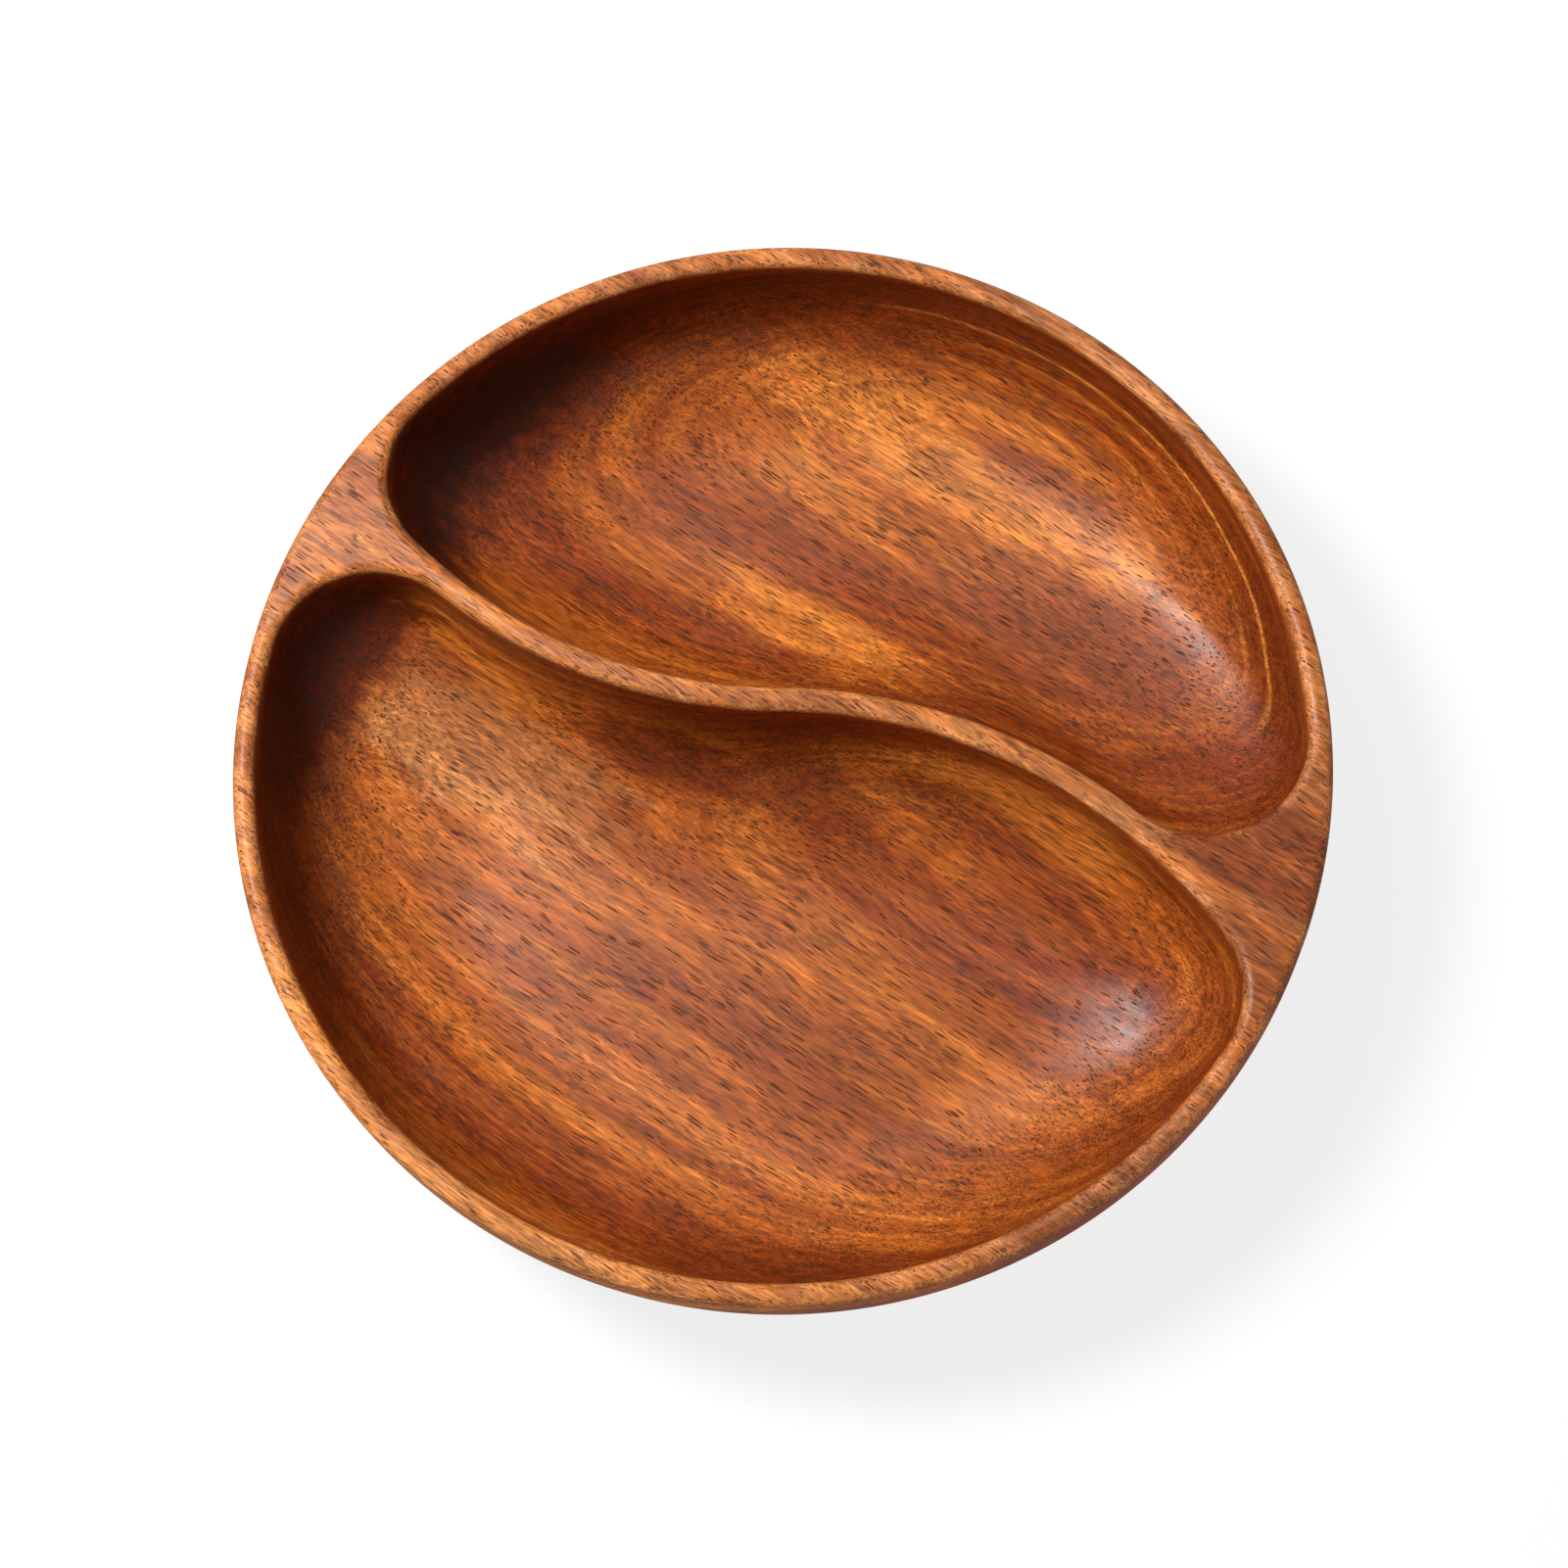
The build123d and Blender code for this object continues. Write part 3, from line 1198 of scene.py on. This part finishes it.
    # Paler wood with a painted sheen near the front compartment's left wall.
    fawn_sheen_patch: Patch = Patch((-62.0, -28.0, 14.0), (38.0, 14.0, 8.0), 0.55)
    torn_edge: float = 0.9
    soft_edge: float = 0.5
    ring_tone: tuple[float, float] = (-0.24, 0.24)
    fine_tone: tuple[float, float] = (-0.16, 0.16)
    dark_tones: tuple[float, float] = (0.05, 0.50)
    golden_tones: tuple[float, float] = (0.50, 0.95)
    line_share: float = 0.40
    heart_share: float = 0.60
    worn_and_sheen_share: float = 0.75
    pore_share: float = 0.85
    shade_to_mahogany: float = 1.6
    shade_to_black: tuple[float, float] = (1.35, 0.75)
    pale_lines: tuple[tuple[float, float], ...] = ((539.5, 0.85), (535.2, 0.30))
    dark_lines: tuple[tuple[float, float], ...] = ((537.8, 0.50), (541.8, 0.40), (533.0, 0.35))
    line_width: float = 0.7
    line_core: float = 0.1
    line_breaks: tuple[float, float, float] = (0.36, 0.56, 0.25)
    lined_wall: Patch = Patch((38.2, 101.2, 28.0), (70.0, 46.0, 20.0), 1.0)
    lined_edge: float = 0.4
    strand_shade: tuple[float, float] = (0.80, 1.20)
    fleck_shade: tuple[float, float] = (0.68, 1.32)
    fibre_shade: tuple[float, float] = (0.60, 1.40)
    dash_shade: tuple[float, float] = (1.09, 0.56)
    roughness: tuple[float, float] = (0.29, 0.41)
    worn_roughness: float = 0.22
    pore_roughness: float = 0.65
    outer_roughness: float = 0.80
    shade_roughness: float = 0.75
    specular: float = 0.22
    bump_depth: float = 0.15 * MM
    fibre_relief: float = 0.2

    def masks(self, nodes: WoodNodes, spots: tuple[Patch, ...], ragged: float) -> list[bpy.types.NodeSocket]:
        """Mask of each patch times its strength.

        Args:
            nodes: The wood's nodes.
            spots: The patches.
            ragged: How much noise their edges have.

        Returns:
            One socket for each patch.
        """
        masks = []
        for spot in spots:
            placed = nodes.sheet.group(
                nodes.patch, Position=nodes.place, Centre=spot.centre, Reach=spot.reach, Ragged=ragged
            )
            masks.append(nodes.sheet.math("MULTIPLY", placed.outputs["Mask"], spot.strength))
        return masks

    def strongest(
        self, nodes: WoodNodes, spots: tuple[Patch, ...], ragged: float, share: object = 0.0
    ) -> bpy.types.NodeSocket:
        """Strongest of some patches at each place, and of a share that is already there.

        Args:
            nodes: The wood's nodes.
            spots: The patches.
            ragged: How much noise their edges have.
            share: What they are added to.

        Returns:
            The share, from 0 to 1.
        """
        for mask in self.masks(nodes, spots, ragged):
            share = nodes.sheet.math("MAXIMUM", share, mask)
        return share

    def tone(self, nodes: WoodNodes) -> bpy.types.NodeSocket:
        """Tone of the wood from 0, dark, to 1, golden.

        It is the tone of the layer, plus noise that runs along the layers, plus the golden patches.

        Args:
            nodes: The wood's nodes.

        Returns:
            The tone.
        """
        sheet = nodes.sheet
        first = self.layer_tones[0][0]
        reach = self.layer_tones[-1][0] - first
        ramp = sheet.add("ShaderNodeValToRGB")
        stops = ramp.color_ramp.elements
        ready = len(stops)
        for number, (depth, tone) in enumerate(self.layer_tones):
            share = (depth - first) / reach
            stop = stops[number] if number < ready else stops.new(share)
            stop.position = share
            stop.color = (tone, tone, tone, 1)
        past = sheet.math("SUBTRACT", nodes.rings.outputs["Depth"], first)
        sheet.feed(ramp.inputs[0], sheet.math("DIVIDE", past, reach))
        tone = sheet.math("ADD", ramp.outputs[0], sheet.varied(nodes.rings.outputs["Tone"], self.ring_tone))
        tone = sheet.math("ADD", tone, sheet.varied(nodes.rings.outputs["Fine"], self.fine_tone))
        for mask in self.masks(nodes, self.golden, self.torn_edge):
            tone = sheet.math("ADD", tone, mask)
        return tone

    def lined(self, nodes: WoodNodes, wood: bpy.types.NodeSocket) -> bpy.types.NodeSocket:
        """The wood with the few sharp lines that growth rings draw on the far wall, broken up by noise.

        Args:
            nodes: The wood's nodes.
            wood: The wood's colour.

        Returns:
            The lined colour.
        """
        sheet = nodes.sheet
        wall = self.masks(nodes, (self.lined_wall,), self.lined_edge)[0]
        broken = sheet.span(nodes.rings.outputs["Tone"], *self.line_breaks)
        broken = sheet.math("MULTIPLY", wall, broken)
        for lines, tint in ((self.dark_lines, self.mahogany), (self.pale_lines, self.pale)):
            for radius, strength in lines:
                off = sheet.math("SUBTRACT", nodes.rings.outputs["Depth"], radius)
                off = sheet.math("ABSOLUTE", off)
                line = sheet.span(off, self.line_width, self.line_core, 0.0, strength)
                wood = sheet.blend(sheet.math("MULTIPLY", broken, line), wood, tint)
        return wood

    def shade(self, nodes: WoodNodes) -> bpy.types.NodeSocket:
        """Grey that the colour is multiplied by, for strands, flecks, fibres and dashes.

        Args:
            nodes: The wood's nodes.

        Returns:
            The grey, as a colour.
        """
        sheet = nodes.sheet
        strand = sheet.varied(nodes.fibres.outputs["Strand"], self.strand_shade)
        fleck = sheet.varied(nodes.fibres.outputs["Fleck"], self.fleck_shade)
        fibre = sheet.varied(nodes.fibres.outputs["Fibre"], self.fibre_shade)
        dash = sheet.span(nodes.fibres.outputs["Dash"], 0.0, 1.0, *self.dash_shade, smooth=False)
        shade = strand
        for term in (fleck, fibre, dash):
            shade = sheet.math("MULTIPLY", shade, term)
        grey = sheet.add("ShaderNodeCombineColor")
        for socket in grey.inputs[:3]:
            sheet.feed(socket, shade)
        return grey.outputs[0]

    def colour(self, nodes: WoodNodes, painted_shade: bpy.types.NodeSocket) -> bpy.types.NodeSocket:
        """Colour of the wood, from its layers up to its pores.

        Args:
            nodes: The wood's nodes.
            painted_shade: Share of the painted shade.

        Returns:
            The colour.
        """
        sheet = nodes.sheet
        tone = self.tone(nodes)
        wood = sheet.blend(sheet.span(tone, *self.dark_tones, smooth=False), self.mahogany, self.russet)
        wood = sheet.blend(sheet.span(tone, *self.golden_tones, smooth=False), wood, self.honey)
        line = sheet.math("MULTIPLY", nodes.rings.outputs["Line"], self.line_share)
        wood = sheet.blend(line, wood, self.umber)
        # Pale wood with a painted sheen on the front compartment's left floor.
        wood = sheet.blend(self.strongest(nodes, (self.fawn_sheen_patch,), self.torn_edge), wood, self.fawn_and_sheen)
        # Worn edges made lighter, partly wear and partly painted sheen.
        worn_and_sheen = sheet.math("MULTIPLY", nodes.wear_and_sheen.outputs["Mask"], self.worn_and_sheen_share)
        wood = sheet.blend(worn_and_sheen, wood, self.worn_and_sheen)
        heart = sheet.math("MULTIPLY", nodes.streaks.outputs["Mask"], self.heart_share)
        wood = sheet.blend(self.strongest(nodes, self.dark, self.torn_edge, heart), wood, self.plum)
        # Painted shade: mahogany, then near-black, laid over the wood where the shade patches lie.
        wood = sheet.blend(sheet.math("MULTIPLY", painted_shade, self.shade_to_mahogany), wood, self.mahogany)
        strand = sheet.varied(nodes.fibres.outputs["Strand"], self.shade_to_black)
        painted_black = sheet.math("MULTIPLY", sheet.math("MULTIPLY", painted_shade, painted_shade), strand)
        wood = sheet.blend(painted_black, wood, self.shade_black)
        wood = self.lined(nodes, wood)
        darker = sheet.blend(1.0, wood, self.end_tint, "MULTIPLY")
        wood = sheet.blend(sheet.attribute(END_GRAIN), wood, darker)
        wood = sheet.blend(1.0, wood, self.shade(nodes), "MULTIPLY")
        holes = sheet.math("MULTIPLY", nodes.pores.outputs["Mask"], self.pore_share)
        return sheet.blend(holes, wood, self.pore)

    def gloss(self, nodes: WoodNodes, painted_shade: bpy.types.NodeSocket) -> bpy.types.NodeSocket:
        """Roughness of the surface: oiled wood, duller where it is worn, in the painted shade, outside, and
        in the pores.

        Args:
            nodes: The wood's nodes.
            painted_shade: Share of the painted shade.

        Returns:
            The roughness.
        """
        sheet = nodes.sheet
        rough = sheet.varied(nodes.fibres.outputs["Strand"], self.roughness, smooth=True)
        worn_and_sheen = sheet.math("MULTIPLY", nodes.wear_and_sheen.outputs["Mask"], self.worn_roughness)
        rough = sheet.math("ADD", rough, worn_and_sheen)
        rough = sheet.mean(sheet.math("MULTIPLY", painted_shade, painted_shade), rough, self.shade_roughness)
        rough = sheet.mean(sheet.attribute(OUTER_FACE), rough, self.outer_roughness)
        return sheet.mean(nodes.pores.outputs["Mask"], rough, self.pore_roughness)

    def build(self) -> bpy.types.Material:
        """Makes the material, which every board shares because the grain runs on across the glue lines.

        Returns:
            The material.
        """
        material = bpy.data.materials.new("oiled_acacia")
        material.use_nodes = True
        shader = material.node_tree.nodes["Principled BSDF"]
        sheet = NodeSheet(material.node_tree)
        where = sheet.add("ShaderNodeTexCoord")
        place = sheet.scaled(where.outputs["Object"], (1 / MM, 1 / MM, 1 / MM))
        nodes = WoodNodes(
            sheet=sheet,
            place=place,
            patch=PatchShape().build(),
            rings=sheet.group(GrowthRings().build(), Position=place),
            streaks=sheet.group(HeartStreaks().build(), Position=place),
            fibres=sheet.group(WoodFibres().build(), Position=place),
            pores=sheet.group(WoodPores().build(), Position=place),
            # Exposure of the edges, for wear that also paints their sheen.
            wear_and_sheen=sheet.group(EdgeWearAndSheen().build(), Position=place, Exposure=sheet.attribute(EDGE_WEAR_AND_SHEEN)),
        )
        # Share of the painted shade on the walls and floor.
        painted_shade = self.strongest(nodes, self.painted_shade, self.soft_edge)
        sheet.feed(shader.inputs["Base Color"], self.colour(nodes, painted_shade))
        sheet.feed(shader.inputs["Roughness"], self.gloss(nodes, painted_shade))
        shader.inputs["Specular IOR Level"].default_value = self.specular
        relief = sheet.math("ADD", nodes.fibres.outputs["Fibre"], nodes.fibres.outputs["Fleck"])
        relief = sheet.math("MULTIPLY", relief, self.fibre_relief)
        bump = sheet.add("ShaderNodeBump")
        bump.inputs["Strength"].default_value = 1.0
        bump.inputs["Distance"].default_value = self.bump_depth
        sheet.feed(bump.inputs["Height"], sheet.math("SUBTRACT", relief, nodes.pores.outputs["Mask"]))
        sheet.feed(shader.inputs["Normal"], bump.outputs[0])
        return material


@dataclass(frozen=True)
class PhotoCamera:
    """The camera at the photograph's viewing angle, in the frame of the bowl."""

    azimuth: float = math.radians(43.0)
    tilt: float = math.radians(15.72)
    roll: float = math.radians(-8.67)
    distance: float = 0.7814
    aim: tuple[float, float, float] = (3.72 * MM, -3.96 * MM, 41.0 * MM)
    focal_pixels: float = 4000.0
    image_width: float = 1601.0
    sensor: float = 36.0
    clip_start: float = 0.05

    def build(self) -> None:
        """Makes the camera and gives it to the scene."""
        lens = bpy.data.cameras.new("photo_camera")
        lens.sensor_width = self.sensor
        lens.lens = self.sensor * self.focal_pixels / self.image_width
        lens.clip_start = self.clip_start
        camera = bpy.data.objects.new("photo_camera", lens)
        turned = Matrix.Rotation(self.azimuth, 4, "Z") @ Matrix.Rotation(self.tilt, 4, "X")
        turned = turned @ Matrix.Rotation(self.roll, 4, "Z")
        away = turned.to_3x3() @ Vector((0, 0, self.distance))
        camera.matrix_world = Matrix.Translation(Vector(self.aim) + away) @ turned
        bpy.context.scene.collection.objects.link(camera)
        bpy.context.scene.camera = camera


@dataclass(frozen=True)
class Lamp:
    """A round lamp that looks at the origin. Angles are in degrees, lengths in metres, power in watts."""

    name: str
    azimuth: float
    elevation: float
    distance: float
    width: float
    power: float

    def build(self) -> None:
        """Makes the lamp."""
        lamp = bpy.data.lights.new(self.name, "AREA")
        lamp.shape = "DISK"
        lamp.size = self.width
        lamp.energy = self.power
        lit = bpy.data.objects.new(self.name, lamp)
        turn = math.radians(self.azimuth)
        rise = math.radians(self.elevation)
        away = Vector((math.cos(rise) * math.cos(turn), math.cos(rise) * math.sin(turn), math.sin(rise)))
        facing = away.to_track_quat("Z", "Y").to_matrix().to_4x4()
        lit.matrix_world = Matrix.Translation(away * self.distance) @ facing
        bpy.context.scene.collection.objects.link(lit)


@dataclass(frozen=True)
class Studio:
    """Pale floor, white surroundings, two soft lamps from above and a low one for the outside wall."""

    lamps: tuple[Lamp, ...] = (
        Lamp("key_lamp", 193.0, 58.0, 0.9, 0.30, 10.8),
        Lamp("top_lamp", 158.0, 68.0, 1.0, 0.30, 1.1),
        Lamp("low_lamp", 0.0, 1.2, 0.9, 0.03, 3.4),
    )
    sky: float = 0.02
    floor_width: float = 6.0
    floor_drop: float = 0.2 * MM
    floor_glow: float = 0.84
    floor_seen: float = 0.18
    floor_tone: float = 0.65

    def looked_at(self, sheet: NodeSheet) -> bpy.types.NodeSocket:
        """Whether a ray comes from the camera, or from a mirror or glass in which the background shows.

        Args:
            sheet: The nodes of the world or of the floor.

        Returns:
            1 for such a ray, 0 for one that only lights.
        """
        path = sheet.add("ShaderNodeLightPath")
        mirrored = sheet.math("MAXIMUM", path.outputs["Is Glossy Ray"], path.outputs["Is Transmission Ray"])
        return sheet.math("MAXIMUM", path.outputs["Is Camera Ray"], mirrored)

    def build_world(self) -> None:
        """White to the camera and in reflections, and a faint even fill to everything else."""
        world = bpy.data.worlds.new("white_studio")
        world.use_nodes = True
        bpy.context.scene.world = world
        sheet = NodeSheet(world.node_tree)
        light = world.node_tree.nodes["Background"]
        sheet.feed(light.inputs["Color"], (1, 1, 1, 1))
        sheet.feed(light.inputs["Strength"], sheet.mean(self.looked_at(sheet), self.sky, 1.0))

    def build_floor(self) -> None:
        """Floor that looks white but keeps the shadow, and lights the object as a plain pale matt one."""
        bpy.ops.mesh.primitive_plane_add(size=self.floor_width, location=(0, 0, -self.floor_drop))
        floor = bpy.context.object
        floor.name = "pale_floor"
        material = bpy.data.materials.new("pale_floor")
        material.use_nodes = True
        sheet = NodeSheet(material.node_tree)
        shader = material.node_tree.nodes["Principled BSDF"]
        seen = self.looked_at(sheet)
        pale = sheet.blend(seen, (self.floor_tone,) * 3 + (1,), (self.floor_seen,) * 3 + (1,))
        sheet.feed(shader.inputs["Base Color"], pale)
        shader.inputs["Roughness"].default_value = 1.0
        shader.inputs["Specular IOR Level"].default_value = 0.0
        shader.inputs["Emission Color"].default_value = (1, 1, 1, 1)
        sheet.feed(shader.inputs["Emission Strength"], sheet.mean(seen, 0.0, self.floor_glow))
        floor.data.materials.append(material)
        floor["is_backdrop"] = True

    def build(self) -> None:
        """Makes the whole studio."""
        bpy.context.scene.view_settings.view_transform = "Standard"
        self.build_world()
        self.build_floor()
        for lamp in self.lamps:
            lamp.build()


class WoodenBowl:
    """The bowl, as five boards cut from one carved body."""

    def __init__(self, sizes: BowlSizes, finish: WoodFinish) -> None:
        """Takes the bowl's sizes and finish.

        Args:
            sizes: The bowl's sizes.
            finish: The wood's colours and gloss.
        """
        self.sizes = sizes
        self.finish = finish
        self.boards: dict[str, bpy.types.Object] = {}

    def build(self) -> None:
        """Carves the body and cuts it into the frame's boards."""
        body = CarvedBody(self.sizes).mesh()
        LOG.info("carved body: %d faces", len(body.polygons))
        for node in frame["nodes"]:
            low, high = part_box(node)
            self.boards[node] = Board(node, low.y, high.y).build(body, self.sizes.outer_radius)
        bpy.data.meshes.remove(body)

    def dress(self) -> None:
        """Gives the boards their wood, and puts them in place of the frame's solids."""
        wood = self.finish.build()
        for node, piece in self.boards.items():
            piece.data.materials.append(wood)
            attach(piece, "root")
            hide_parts(node)
            LOG.info("%s: %d faces", piece.name, len(piece.data.polygons))


def main() -> None:
    """Builds the camera, the studio and the bowl."""
    logging.basicConfig(level=logging.INFO, format="%(name)s: %(message)s")
    PhotoCamera().build()
    Studio().build()
    bowl = WoodenBowl(BowlSizes.from_frame(), WoodFinish())
    bowl.build()
    bowl.dress()


if __name__ == "__main__":
    main()
